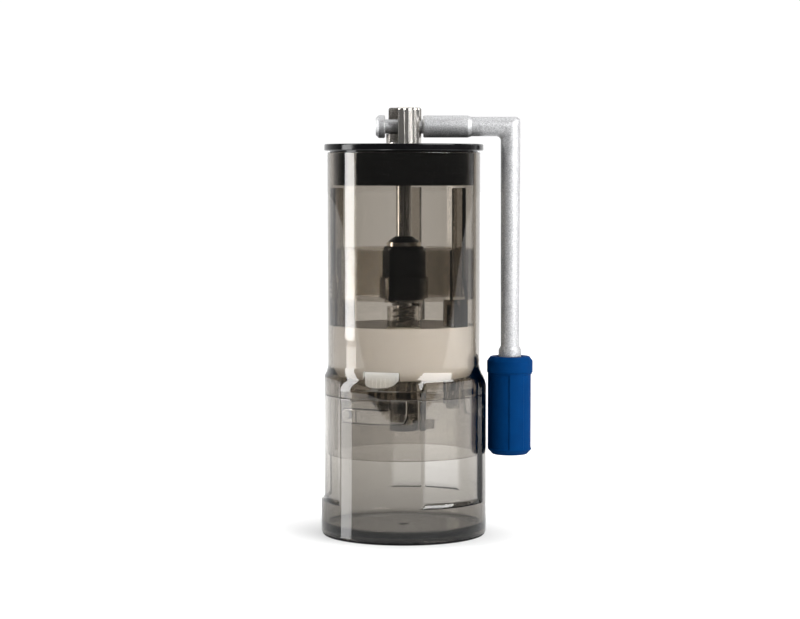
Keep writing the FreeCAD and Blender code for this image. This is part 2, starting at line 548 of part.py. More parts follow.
def make_clamp_knob():
    spot = at(number("knob_azimuth"), "knob_circle")
    knob = turned("knob_turning", [
        ("0", "stem_top"), ("stem_radius", "stem_top"), ("stem_radius", "knob_low"),
        ("knob_radius - edge_break", "knob_low"), ("knob_radius", "knob_low + edge_break"),
        ("knob_radius", "knob_top - knob_edge"),
        ("knob_radius - knob_edge", "knob_top", "knob_edge"), ("0", "knob_top")])
    grooves = [rod(f"knob_groove_{index}", "knob_rib", "knob_low - 1", "knob_rib_top",
                   at(360 / KNOB_RIBS * index, "knob_radius + 0.1")) for index in range(KNOB_RIBS)]
    whole = trimmed("knob_cut", knob, grooves)
    whole.Placement.Base = spot.Base
    keep("clamp_knob", whole)
    keep("knob_stem", rod("knob_stem", "stem_radius", "stem_low", "stem_top", spot))
    nut = hexagon("stem_nut_blank", "stem_nut_radius", "stem_nut_low", "arm_low - 0.1")
    nut.Placement.Base = nut.Placement.Base + spot.Base
    keep("stem_nut", trimmed("stem_nut_cut", nut, [
        rod("stem_nut_bore", "stem_radius", "stem_nut_low - 1", "arm_low + 1", spot)]))


def make_lid():
    shell = turned("lid_turning", [
        ("lid_bush_radius", "lid_boss_low"), ("lid_boss", "lid_boss_low"),
        ("lid_boss", "lid_top - lid_skin"), ("plug_radius - plug_wall", "lid_top - lid_skin"),
        ("plug_radius - plug_wall", "plug_low"), ("plug_radius - edge_break", "plug_low"),
        ("plug_radius", "plug_low + edge_break"), ("plug_radius", "hopper_top"),
        ("lid_step", "hopper_top"), ("lid_step", "lid_low"), ("lid_radius - edge_break", "lid_low"),
        ("lid_radius", "lid_low + edge_break"), ("lid_radius", "lid_top - lid_edge"),
        ("lid_radius - lid_edge", "lid_top", "lid_edge"), ("lid_bush_radius", "lid_top")])
    webs = [block(f"lid_web_{index}", "lid_boss - 0.5", "plug_radius - 1", "web_thick", "web_low",
                  "lid_top - 1", 360 / LID_WEBS * (index + 0.5)) for index in range(LID_WEBS)]
    keep("lid", joined("lid_whole", [shell] + webs))
    keep("lid_bush", ring("lid_bush", "lid_bush_bore", "lid_bush_radius", "lid_boss_low", "lid_top"))


def make_head():
    """The steel head that joins the crank to the shaft's hexagon."""
    body = turned("head_turning", [
        ("0", "shank_low"), ("shank_radius", "shank_low"), ("shank_radius", "clip_low"),
        ("clip_root", "clip_low"), ("clip_root", "clip_low + clip_thick"),
        ("shank_radius", "clip_low + clip_thick"), ("shank_radius", "lid_top + 0.1"),
        ("head_radius", "lid_top + 0.1"), ("head_radius", "head_top - head_edge"),
        ("head_radius - head_edge", "head_top", "head_edge"), ("0", "head_top")])
    window = sized(doc.addObject("Part::Box", "head_window"), Length="window_right + head_radius + 1",
                   Width="window_back + head_radius + 1", Height="head_top - window_low + 1")
    window.Placement.Base = FreeCAD.Vector(number("-head_radius - 1"), number("-head_radius - 1"),
                                           number("window_low"))
    cuts = [hexagon("head_socket", "socket_hex", "shank_low - 1", "socket_top"), window,
            radial_rod("cross_bore", "cross_bore", "-head_radius - 1", "head_radius + 1", 90,
                       "crank_axis")]
    keep("crank_head", trimmed("head_cut", body, cuts))
    keep("head_clip", ring("head_clip", "clip_root + 0.05", "clip_radius", "clip_low + 0.05",
                           "clip_low + clip_thick - 0.05"))


def lying(body):
    """Lay a turned piece along +X at the height of the crank's cross bore."""
    body.Placement = FreeCAD.Placement(FreeCAD.Vector(0, 0, number("crank_axis")),
                                       FreeCAD.Rotation(FreeCAD.Vector(0, 1, 0), 90))
    return body


def make_arm():
    along = at(90, "leg_offset")
    barrel = lying(turned("barrel_turning", [
        ("0", "neck_left"), ("neck_radius", "neck_left"), ("neck_radius", "barrel_left"),
        ("barrel_radius - arm_edge", "barrel_left"), ("barrel_radius", "barrel_left + arm_edge"),
        ("barrel_radius", "barrel_right"), ("tube_radius", "taper_right"),
        ("tube_radius", "leg_offset"), ("0", "leg_offset")]))
    leg = rod("leg", "leg_radius", "leg_low - 1", "crank_axis", along)
    corner = doc.addObject("Part::Common", "elbow")
    corner.Base = radial_rod("elbow_across", "tube_radius", "leg_offset - leg_radius",
                             "leg_offset + leg_radius", 90, "crank_axis")
    corner.Tool = rod("elbow_up", "leg_radius", "crank_axis - tube_radius",
                      "crank_axis + tube_radius", along)
    collar = turned("collar_turning", [
        ("0", "collar_low"), ("collar_radius - arm_edge", "collar_low"),
        ("collar_radius", "collar_low + arm_edge"), ("collar_radius", "leg_low - collar_cone"),
        ("leg_radius", "leg_low"), ("0", "leg_low")])
    collar.Placement = FreeCAD.Placement(along.Base, FreeCAD.Rotation())
    bores = [radial_rod("cap_screw_bore", "cap_screw_radius", "neck_left - 1", "cap_screw_tip", 90,
                        "crank_axis"),
             rod("spindle_bore", "spindle_radius", "collar_low - 1", "leg_low + 6", along)]
    keep("crank_arm", trimmed("arm_cut", joined("arm_whole", [barrel, leg, corner, collar]), bores))
    keep("arm_end_cap", lying(turned("arm_end_cap", [
        ("cap_screw_radius", "neck_left"), ("neck_radius", "neck_left"), ("neck_radius", "cap_right"),
        ("cap_flange - arm_edge", "cap_right"), ("cap_flange", "cap_right - arm_edge"),
        ("cap_flange", "cap_left + cap_flange_edge"), ("cap_flange - cap_flange_edge", "cap_left"),
        ("cap_screw_head + 0.1", "cap_left"), ("cap_screw_head + 0.1", "cap_left + cap_recess"),
        ("cap_screw_radius", "cap_left + cap_recess")])))
    screw = joined("cap_screw_whole", [
        radial_rod("cap_screw_shank", "cap_screw_radius", "cap_left + 1", "cap_screw_tip", 90,
                   "crank_axis"),
        radial_rod("cap_screw_top", "cap_screw_head", "cap_left + 0.1", "cap_left + cap_recess", 90,
                   "crank_axis")])
    recess = hexagon("cap_screw_socket", "cap_screw_head / 2", "0", "1.3")
    recess.Placement = FreeCAD.Placement(
        FreeCAD.Vector(number("cap_left - 0.2"), 0, number("crank_axis")),
        FreeCAD.Rotation(FreeCAD.Vector(0, 1, 0), 90))
    keep("arm_cap_screw", trimmed("cap_screw_cut", screw, [recess]))


def make_grip():
    along = at(90, "leg_offset")
    spindle = trimmed("spindle_cut", rod("spindle", "spindle_radius", "spindle_low", "leg_low + 6",
                                         along),
                      [rod("spindle_tap", "grip_screw_shank", "spindle_low - 1",
                           "spindle_low + grip_screw_length", along)])
    keep("grip_spindle", spindle)
    pieces = {
        "grip_core": [("core_bore", "core_low"), ("grip_bore", "core_low"),
                      ("grip_bore", "grip_top - mouth_depth"),
                      ("core_bore", "grip_top - mouth_depth")],
        "grip_collar": [("grip_bore", "grip_band_low"), ("band_radius", "grip_band_low"),
                        ("band_radius", "grip_top - band_edge"),
                        ("band_radius - band_edge * 0.75", "grip_top"), ("grip_bore", "grip_top")],
        "grip_plug": [("0", "grip_low"), ("grip_plug_radius", "grip_low"),
                      ("grip_plug_radius", "grip_floor - 0.5"), ("0", "grip_floor - 0.5")],
    }
    for name, outline in pieces.items():
        keep(name, turned(name, outline)).Placement = FreeCAD.Placement(along.Base,
                                                                        FreeCAD.Rotation())
    sleeve = turned("sleeve_turning", [
        ("grip_plug_radius", "grip_low"), ("grip_radius - grip_edge", "grip_low"),
        ("grip_radius", "grip_low + grip_edge", "grip_edge"), ("grip_radius", "grip_band_low"),
        ("grip_bore", "grip_band_low"), ("grip_bore", "grip_floor"),
        ("grip_plug_radius", "grip_floor")])
    for index, third in enumerate(THIRDS):
        spun(sleeve, "Groove", f"grip_panel_{index}",
             [("grip_radius - panel_depth", "panel_low"), ("grip_radius + 1", "panel_low"),
              ("grip_radius + 1", "panel_top"), ("grip_radius - panel_depth", "panel_top")],
             azimuth=number("panel_azimuth") + third, sweep="panel_sweep")
    keep("grip_sleeve", sleeve).Placement = FreeCAD.Placement(along.Base, FreeCAD.Rotation())
    washer = ring("grip_washer", "grip_screw_shank + 0.05", "grip_bore - 0.3", "spindle_low - 0.6",
                  "spindle_low")
    keep("grip_washer", washer).Placement = FreeCAD.Placement(along.Base, FreeCAD.Rotation())
    keep("grip_screw", joined("grip_screw_whole", [
        rod("grip_screw_shaft", "grip_screw_shank", "spindle_low - 1",
            "spindle_low + grip_screw_length", along),
        rod("grip_screw_top", "grip_screw_head", "grip_floor + 0.1", "spindle_low - 0.6", along)]))


def check_and_write():
    """Stop on any failed object, then write each sub-part to its own file."""
    doc.recompute()
    for item in doc.Objects:
        if {"Invalid", "Error"} & set(item.State):
            raise RuntimeError(f"{item.Name} failed to compute: {item.State}")
    os.makedirs("parts", exist_ok=True)
    for name, item in nodes.items():
        if item.Shape.isNull() or not item.Shape.isValid():
            raise RuntimeError(f"{name} has no valid shape")
        print(f"{name:20s} solids {len(item.Shape.Solids)}  volume {item.Shape.Volume:9.1f} mm3")
        item.Shape.exportStep(f"parts/{name}.step")


for make in (make_foot, make_jar, make_body, make_spider, make_shaft, make_spring, make_housing,
             make_burrs, make_bridge, make_adjuster, make_clamp_knob, make_lid, make_head, make_arm,
             make_grip):
    make()
check_and_write()
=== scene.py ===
"""Looks of the hand grinder: clear smoke shells, a steel drive, a silver crank and a blue grip.

Outlines are in millimetres, as (radius, height), and azimuths in degrees from the front (-Y)
towards +X. Meshes are made in metres.
"""
import math

import bmesh
import bpy
from mathutils import Matrix, Vector


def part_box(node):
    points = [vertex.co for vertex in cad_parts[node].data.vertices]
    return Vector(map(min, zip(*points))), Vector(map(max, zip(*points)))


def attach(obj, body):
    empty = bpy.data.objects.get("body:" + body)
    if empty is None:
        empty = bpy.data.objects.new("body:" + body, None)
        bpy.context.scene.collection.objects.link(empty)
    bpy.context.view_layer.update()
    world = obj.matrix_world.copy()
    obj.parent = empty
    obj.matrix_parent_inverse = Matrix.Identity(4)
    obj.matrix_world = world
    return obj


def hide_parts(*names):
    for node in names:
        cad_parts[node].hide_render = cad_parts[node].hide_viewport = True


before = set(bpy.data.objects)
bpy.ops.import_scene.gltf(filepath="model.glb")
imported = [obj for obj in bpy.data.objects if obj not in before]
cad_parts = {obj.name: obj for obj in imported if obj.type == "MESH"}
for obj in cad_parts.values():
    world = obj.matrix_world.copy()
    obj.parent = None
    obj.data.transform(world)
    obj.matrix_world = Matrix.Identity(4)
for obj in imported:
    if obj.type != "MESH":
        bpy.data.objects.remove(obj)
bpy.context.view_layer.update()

MM = 0.001
THIRDS = (0, 120, 240)

# ---------------------------------------------------------------- places taken from the frame
JAR_LOW, JAR_HIGH = (Vector(corner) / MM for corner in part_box("jar"))
BODY_LOW, BODY_HIGH = (Vector(corner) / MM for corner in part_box("upper_body"))
ARM_LOW, ARM_HIGH = (Vector(corner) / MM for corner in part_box("crank_arm"))
SLEEVE_LOW, SLEEVE_HIGH = (Vector(corner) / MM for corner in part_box("grip_sleeve"))
COLLAR_LOW, COLLAR_HIGH = (Vector(corner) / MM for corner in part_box("grip_collar"))
LID_LOW, LID_HIGH = (Vector(corner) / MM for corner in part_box("lid"))
HEAD_LOW, HEAD_HIGH = (Vector(corner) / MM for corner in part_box("crank_head"))
LEG_X = (SLEEVE_LOW.x + SLEEVE_HIGH.x) / 2
CRANK_Z = sum(corner[2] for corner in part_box("arm_end_cap")) / 2 / MM

# ---------------------------------------------------------------- colours and nodes


def linear(hex_colour):
    """An sRGB hex colour as the linear RGBA that shaders use."""
    channels = [int(hex_colour[at:at + 2], 16) / 255 for at in (1, 3, 5)]
    return [c / 12.92 if c <= 0.04045 else ((c + 0.055) / 1.055) ** 2.4 for c in channels] + [1]


def add(tree, kind, links=None, **values):
    """Add a shader node with its settings, then link sockets to it."""
    item = tree.nodes.new("ShaderNode" + kind)
    for name, value in values.items():
        if hasattr(item, name):
            setattr(item, name, value)
        else:
            item.inputs[name.replace("_", " ")].default_value = value
    for socket, source in (links or {}).items():
        tree.links.new(source, item.inputs[socket])
    return item


def blank(name):
    """A new material with an empty tree and its output node."""
    material = bpy.data.materials.new(name)
    material.use_nodes = True
    material.node_tree.nodes.clear()
    return material, material.node_tree, material.node_tree.nodes.new("ShaderNodeOutputMaterial")


def mottled(tree, places, size_mm, low, high, stretch=(1, 1, 1), detail=3.0):
    """Noise of a given grain size, spread between two values."""
    spread = add(tree, "Mapping", {"Vector": places.outputs["Object"]}, Scale=stretch)
    noise = add(tree, "TexNoise", {"Vector": spread.outputs[0]}, Scale=1 / (size_mm * MM),
                Detail=detail, Roughness=0.55)
    return add(tree, "MapRange", {"Value": noise.outputs["Fac"]}, From_Min=0.3, From_Max=0.7,
               To_Min=low, To_Max=high).outputs[0]


def copolyester_moulded(name, absorbed_per_mm):
    """Smoke-tinted clear copolyester, injection moulded: hard mirror gloss, a tint that deepens
    with thickness, and the faint ripple of a moulded wall."""
    material, tree, output = blank(name)
    places = add(tree, "TexCoord")
    ripple = add(tree, "Bump", {"Height": mottled(tree, places, 14, 0, 1, stretch=(1, 1, 0.4))},
                 Strength=0.10, Distance=0.02 * MM)
    shader = add(tree, "BsdfPrincipled", {
        "Roughness": mottled(tree, places, 6, 0.012, 0.035),
        "Normal": ripple.outputs[0]}, Base_Color=(1, 1, 1, 1), IOR=1.57, Transmission_Weight=1.0)
    deepest = max(absorbed_per_mm)
    shade = [1 - amount / deepest for amount in absorbed_per_mm] + [1]
    tint = add(tree, "VolumeAbsorption", Color=shade, Density=deepest / MM)
    tree.links.new(shader.outputs[0], output.inputs["Surface"])
    tree.links.new(tint.outputs[0], output.inputs["Volume"])
    return material


def abs_moulded_gloss(name, colour):
    """Black ABS from a polished mould: deep gloss with the soft waviness of thin walls."""
    material, tree, output = blank(name)
    places = add(tree, "TexCoord")
    wave = add(tree, "Bump", {"Height": mottled(tree, places, 5, 0, 1, stretch=(1, 1, 0.15))},
               Strength=0.25, Distance=0.02 * MM)
    specks = mottled(tree, places, 0.5, 0, 1)
    tone = add(tree, "Mix", {"Factor": specks}, data_type="RGBA")
    tone.inputs["A"].default_value = linear(colour)
    tone.inputs["B"].default_value = linear("#0e0e10")
    shader = add(tree, "BsdfPrincipled", {
        "Base Color": tone.outputs["Result"], "Roughness": mottled(tree, places, 3, 0.09, 0.17),
        "Normal": wave.outputs[0]}, IOR=1.54, Specular_IOR_Level=0.25)
    tree.links.new(shader.outputs[0], output.inputs["Surface"])
    return material


def polymer_satin(name, colour, shade, grain_mm=0.35, roughness=(0.38, 0.5), glow=0.0):
    """Moulded acetal or PBT: an even, milky satin with a fine spark-eroded grain. The glow is
    painted light: an emission that lifts a white piece sitting in shade, and stands in too for
    light that scatters inside it."""
    material, tree, output = blank(name)
    places = add(tree, "TexCoord")
    cloud = mottled(tree, places, 12, 0, 1)
    tone = add(tree, "Mix", {"Factor": cloud}, data_type="RGBA")
    tone.inputs["A"].default_value = linear(colour)
    tone.inputs["B"].default_value = linear(shade)
    grain = add(tree, "Bump", {"Height": mottled(tree, places, grain_mm, 0, 1)}, Strength=0.35,
                Distance=0.02 * MM)
    # The emission is painted light that brightens the piece; it is off unless glow is given.
    shader = add(tree, "BsdfPrincipled", {
        "Base Color": tone.outputs["Result"], "Normal": grain.outputs[0],
        "Roughness": mottled(tree, places, 4, *roughness)}, IOR=1.48,
        Emission_Color=(0.85, 0.93, 1, 1), Emission_Strength=glow)
    tree.links.new(shader.outputs[0], output.inputs["Surface"])
    return material


def elastomer_moulded(name, colour, shade, roughness=(0.52, 0.64), gloss=0.5):
    """Moulded rubber or soft-touch elastomer: matt, with little gloss and a fine grain."""
    material, tree, output = blank(name)
    places = add(tree, "TexCoord")
    cloud = mottled(tree, places, 7, 0, 1)
    tone = add(tree, "Mix", {"Factor": cloud}, data_type="RGBA")
    tone.inputs["A"].default_value = linear(colour)
    tone.inputs["B"].default_value = linear(shade)
    # The real grain is about 0.05 mm, too fine to show, so it is drawn at 0.18 mm.
    grain = add(tree, "Bump", {"Height": mottled(tree, places, 0.18, 0, 1, detail=2)},
                Strength=0.5, Distance=0.03 * MM)
    shader = add(tree, "BsdfPrincipled", {
        "Base Color": tone.outputs["Result"], "Normal": grain.outputs[0],
        "Roughness": mottled(tree, places, 2.5, *roughness)}, IOR=1.5,
        Specular_IOR_Level=gloss)
    tree.links.new(shader.outputs[0], output.inputs["Surface"])
    return material


def steel_drawn(name, colour, roughness=(0.12, 0.24), streak_mm=0.5, along=0.03):
    """Drawn and polished stainless bar: bright, with fine streaks along its length."""
    material, tree, output = blank(name)
    places = add(tree, "TexCoord")
    lines = mottled(tree, places, streak_mm, 0, 1, stretch=(1, 1, along))
    drawn = add(tree, "Bump", {"Height": lines}, Strength=0.4, Distance=0.03 * MM)
    tone = add(tree, "Mix", {"Factor": lines}, data_type="RGBA")
    tone.inputs["A"].default_value = linear(colour)
    tone.inputs["B"].default_value = linear("#dcd8d2")
    shader = add(tree, "BsdfPrincipled", {
        "Base Color": tone.outputs["Result"], "Normal": drawn.outputs[0],
        "Roughness": mottled(tree, places, streak_mm, *roughness, stretch=(1, 1, along))},
        Metallic=1.0)
    tree.links.new(shader.outputs[0], output.inputs["Surface"])
    return material


def aluminium_sand_cast(name, colour, shade):
    """Cast aluminium under a thin silver lacquer: bright sparkling grain over soft hills."""
    material, tree, output = blank(name)
    places = add(tree, "TexCoord")
    # Casting sand is about 0.2 mm, and is drawn at 0.45 mm so that it shows.
    sand = mottled(tree, places, 0.45, 0, 1, detail=5)
    hills = mottled(tree, places, 2.2, 0, 1)
    height = add(tree, "Math", {0: sand, 1: hills}, operation="ADD")
    rough = add(tree, "Bump", {"Height": height.outputs[0]}, Strength=0.8, Distance=0.10 * MM)
    tone = add(tree, "Mix", {"Factor": sand}, data_type="RGBA")
    tone.inputs["A"].default_value = linear(shade)
    tone.inputs["B"].default_value = linear(colour)
    shader = add(tree, "BsdfPrincipled", {
        "Base Color": tone.outputs["Result"], "Normal": rough.outputs[0],
        "Roughness": mottled(tree, places, 0.9, 0.38, 0.55)}, Metallic=0.75)
    tree.links.new(shader.outputs[0], output.inputs["Surface"])
    return material


def alumina_sintered(name):
    """Fired alumina: off-white, dry and slightly speckled."""
    return polymer_satin(name, "#e9e4d8", "#d8d1c1", grain_mm=0.22, roughness=(0.42, 0.6))


# ---------------------------------------------------------------- mesh making


def rounded(corners, steps=4):
    """Outline points from (radius, height) corners; a third number rounds that corner."""
    points = []
    count = len(corners)
    for index, corner in enumerate(corners):
        here = Vector(corner[:2])
        if len(corner) == 2:
            points.append(here)
            continue
        before = (Vector(corners[index - 1][:2]) - here).normalized()
        after = (Vector(corners[(index + 1) % count][:2]) - here).normalized()
        half = before.angle(after) / 2
        reach = corner[2] / math.tan(half)
        middle = here + (before + after).normalized() * (corner[2] / math.sin(half))
        start, end = here + before * reach - middle, here + after * reach - middle
        turn = start.angle_signed(end)
        for step in range(steps + 1):
            angle = -turn * step / steps
            points.append(middle + Vector((start.x * math.cos(angle) - start.y * math.sin(angle),
                                           start.x * math.sin(angle) + start.y * math.cos(angle))))
    return points


def divided(points, low, high, step, radius=None):
    """The closed outline with its stretches between two heights cut into short steps; a radius
    limits that to the stretch at that radius."""
    result = []
    for index, start in enumerate(points):
        end = points[(index + 1) % len(points)]
        result.append(start)
        heights = sorted((start.y, end.y))
        elsewhere = radius and abs(start.x - radius) + abs(end.x - radius) > 0.1
        if heights[1] <= low or heights[0] >= high or heights[1] - heights[0] < step or elsewhere:
            continue
        inside = [max(low, heights[0]), min(high, heights[1])]
        count = max(1, round((inside[1] - inside[0]) / step))
        cuts = [inside[0] + (inside[1] - inside[0]) * at / count for at in range(count + 1)]
        cuts = [cut for cut in cuts if heights[0] + 0.02 < cut < heights[1] - 0.02]
        for cut in (cuts if end.y > start.y else reversed(cuts)):
            share = (cut - start.y) / (end.y - start.y)
            result.append(start.lerp(end, share))
    return result


def finished(name, mesh_maker, material, sharp=32):
    """Close a bmesh into an object with outward normals and crisp edges."""
    mesh = bpy.data.meshes.new(name)
    bmesh.ops.remove_doubles(mesh_maker, verts=mesh_maker.verts, dist=1e-7)
    bmesh.ops.recalc_face_normals(mesh_maker, faces=mesh_maker.faces)
    mesh_maker.to_mesh(mesh)
    mesh_maker.free()
    mesh.shade_smooth()
    mesh.set_sharp_from_angle(angle=math.radians(sharp))
    mesh.materials.append(material)
    piece = bpy.data.objects.new(name, mesh)
    bpy.context.scene.collection.objects.link(piece)
    level = piece.modifiers.new("level", "WEIGHTED_NORMAL")
    level.keep_sharp = True
    return piece


def spin(maker, points, count=96, bend=None, start=0.0, place=Matrix.Identity(4)):
    """Sweep a closed outline round the axis; bend may change each point's radius."""
    rings = []
    for turn in range(count):
        azimuth = start + 360 * turn / count
        across, towards = math.sin(math.radians(azimuth)), -math.cos(math.radians(azimuth))
        ring = []
        for radius, height in points:
            if bend:
                radius = bend(azimuth, radius, height)
            spot = Vector((radius * across, radius * towards, height)) * MM
            ring.append(maker.verts.new(place @ spot))
        rings.append(ring)
    for turn, ring in enumerate(rings):
        following = rings[(turn + 1) % count]
        for index in range(len(points)):
            after = (index + 1) % len(points)
            if points[index][0] < 1e-6 and points[after][0] < 1e-6:
                continue
            corners = [ring[index], ring[after], following[after], following[index]]
            if points[index][0] < 1e-6:
                corners = corners[:3]
            elif points[after][0] < 1e-6:
                corners = [ring[index], ring[after], following[index]]
            maker.faces.new(corners)


def turned(name, outline, material, body, replaced, count=96, bend=None, place=None,
           sharp=32):
    """A round piece from an outline, standing for CAD nodes."""
    maker = bmesh.new()
    spin(maker, outline, count, bend, place=place or Matrix.Identity(4))
    piece = finished(name, maker, material, sharp)
    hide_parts(*replaced)
    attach(piece, body)


def apart(azimuth, other):
    """Signed angle between two azimuths, from -180 to 180."""
    return (azimuth - other + 180) % 360 - 180


def nearest_third(azimuth, middle):
    """Signed angle to the nearest of three features spaced round the axis."""
    return min((apart(azimuth, middle + third) for third in THIRDS), key=abs)


def ramp(value):
    """Clamp to 0..1, easing in and out."""
    value = min(1.0, max(0.0, value))
    return value * value * (3 - 2 * value)


# ---------------------------------------------------------------- the clear shells
SCOOP_MIDDLE, SCOOP_RADIUS = 41, 35.85
SCOOP_HALF_FLOOR, SCOOP_HALF_RIM = 25.2, 30.0
SCOOP_LEDGE_LOW, SCOOP_LEDGE_HIGH = 15.6, 18.8
JAR_BORE, JAR_FLOOR, JAR_CEILING, JAR_RECESS = 34.9, 4.2, 2.8, 34.7
GATE_MARK, GATE_SLOPE, GATE_MARK_HEIGHT, EDGE_ROUND = 1.9, 2.6, 0.4, 0.35
SLOT_FLOOR, SLOT_MIDDLE, SLOT_HALF, SLOT_EASE = 36.1, 56.2, 3.2, 0.5
SLOT_BAND = SLOT_MIDDLE - 5
CLICK_DEGREES, CLICK_HALF, CLICK_DEPTH = (8, 12), 0.6, 0.2
SLOT_START, SLOT_END, GATE_MIDDLE, GATE_HALF = -44.8, -3.0, -3.8, 6.0
LUG_AZIMUTH, LUG_RADIUS, LUG_HEIGHT, LUG_TIP = -43.5, 1.8, 56.4, 35.7
SHELL_STEPS = 480


def scooped(azimuth, radius, height):
    """The outer radius inside the three finger scoops: soft sides over a crisp, hollow ledge."""
    side = SCOOP_HALF_RIM - abs(nearest_third(azimuth, SCOOP_MIDDLE))
    side = ramp(side / (SCOOP_HALF_RIM - SCOOP_HALF_FLOOR))
    ledge = (height - SCOOP_LEDGE_LOW) / (SCOOP_LEDGE_HIGH - SCOOP_LEDGE_LOW)
    ledge = math.sqrt(1 - (1 - min(1.0, max(0.0, ledge))) ** 2)
    return radius - max(0.0, radius - SCOOP_RADIUS) * min(side, ledge)


def slot_depth(azimuth, height):
    """How deep the bayonet slot cuts into the jar's bore, 0 to 1, and its two click ribs."""
    per_degree = math.radians(1) * SLOT_FLOOR
    offset = nearest_third(azimuth, (SLOT_START + SLOT_END) / 2)
    here = (offset + (SLOT_START + SLOT_END) / 2) * per_degree
    nearest = min(max(here, SLOT_START * per_degree), SLOT_END * per_degree)
    track = math.hypot(here - nearest, height - SLOT_MIDDLE) - SLOT_HALF
    gate = max(abs(here - GATE_MIDDLE * per_degree) - GATE_HALF * per_degree,
               SLOT_MIDDLE - height)
    depth = ramp(0.5 - min(track, gate) / SLOT_EASE)
    for click in CLICK_DEGREES:
        rib = abs(here - (LUG_AZIMUTH + click) * per_degree)
        if abs(height - SLOT_MIDDLE) < SLOT_HALF:
            depth -= CLICK_DEPTH * ramp(1 - rib / CLICK_HALF)
    return max(depth, 0.0)


def jar_surface(azimuth, radius, height):
    """The jar's radius: scoops outside, bayonet slots in the upper part of the bore."""
    if radius > JAR_BORE + 0.6:
        return scooped(azimuth, radius, height)
    if radius > JAR_BORE - 0.01 and height > SLOT_BAND:
        return radius + (SLOT_FLOOR - JAR_BORE) * slot_depth(azimuth, height)
    return radius


def make_jar(material):
    """The grounds jar: a deep cup with scoops outside and bayonet slots inside."""
    outer, rim = JAR_HIGH.x, JAR_HIGH.z
    outline = rounded([
        (0, JAR_FLOOR + GATE_MARK_HEIGHT), (GATE_MARK, JAR_FLOOR + GATE_MARK_HEIGHT, 0.3),
        (GATE_SLOPE, JAR_FLOOR, 0.3), (JAR_BORE, JAR_FLOOR, 2.4), (JAR_BORE, rim, EDGE_ROUND),
        (outer, rim, EDGE_ROUND), (outer, JAR_LOW.z, 0.7), (JAR_RECESS, JAR_LOW.z, 0.2),
        (JAR_RECESS, JAR_CEILING), (0, JAR_CEILING)])
    outline = divided(outline, SLOT_BAND, rim, 0.4)
    outline = divided(outline, SCOOP_LEDGE_LOW, SCOOP_LEDGE_HIGH, 0.2, outer)
    maker = bmesh.new()
    spin(maker, outline, SHELL_STEPS, jar_surface, start=SCOOP_MIDDLE)
    piece = finished("jar_shell", maker, material, 40)
    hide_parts("jar")
    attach(piece, "jar")


SKIRT_RADIUS, SKIRT_BORE, HOPPER_RADIUS, HOPPER_BORE = 34.65, 32.9, 34.3, 32.0
SEAM_GAP, BORE_STEP_LOW, BORE_STEP_HIGH, FLARE_STEPS = 0.06, 68.4, 70.2, 16
RIB_AZIMUTH, RIB_INNER, RIB_TOP, RIB_HALF, RIB_FOOT_HALF = 50, 28.9, 156.0, 2.7, 5.0
RIB_TAPER_TOP, POST_TOP, POST_LOW, POST_RADIUS, POST_CIRCLE = 118.0, 106.6, 94.9, 4.4, 27.6
FLARE_LOW, FLARE_HIGH = 66.4, 77.2


def body_surface(azimuth, radius, height):
    """The body's radius: lugs on the skirt, scoops outside, ribs and posts in the bore."""
    if radius > SKIRT_RADIUS - 0.3 and height < FLARE_LOW - 3.2:
        lug = nearest_third(azimuth, LUG_AZIMUTH) * math.radians(1) * radius
        swell = ramp((LUG_RADIUS - math.hypot(lug, height - LUG_HEIGHT)) / 0.55 + 0.3)
        return radius + (LUG_TIP - SKIRT_RADIUS) * swell
    if radius > HOPPER_BORE + 1.2:
        return scooped(azimuth, radius, height)
    if POST_LOW - 0.01 < height < RIB_TOP + 0.01 and radius > HOPPER_BORE - 0.1:
        return ribbed(nearest_third(azimuth, RIB_AZIMUTH) * math.radians(1) * HOPPER_BORE, height)
    return radius


def ribbed(offset, height):
    """The bore's radius across a rib, its widening foot and the screw post below it."""
    half = RIB_HALF
    if POST_TOP < height < RIB_TAPER_TOP:
        half += (RIB_FOOT_HALF - RIB_HALF) * (RIB_TAPER_TOP - height) / (RIB_TAPER_TOP - POST_TOP)
    radius = HOPPER_BORE - (HOPPER_BORE - RIB_INNER) * ramp((half - abs(offset)) / 0.4 + 0.5)
    if height < POST_TOP + 0.01 and abs(offset) < POST_RADIUS:
        radius = min(radius, POST_CIRCLE - math.sqrt(POST_RADIUS ** 2 - offset ** 2))
    return radius


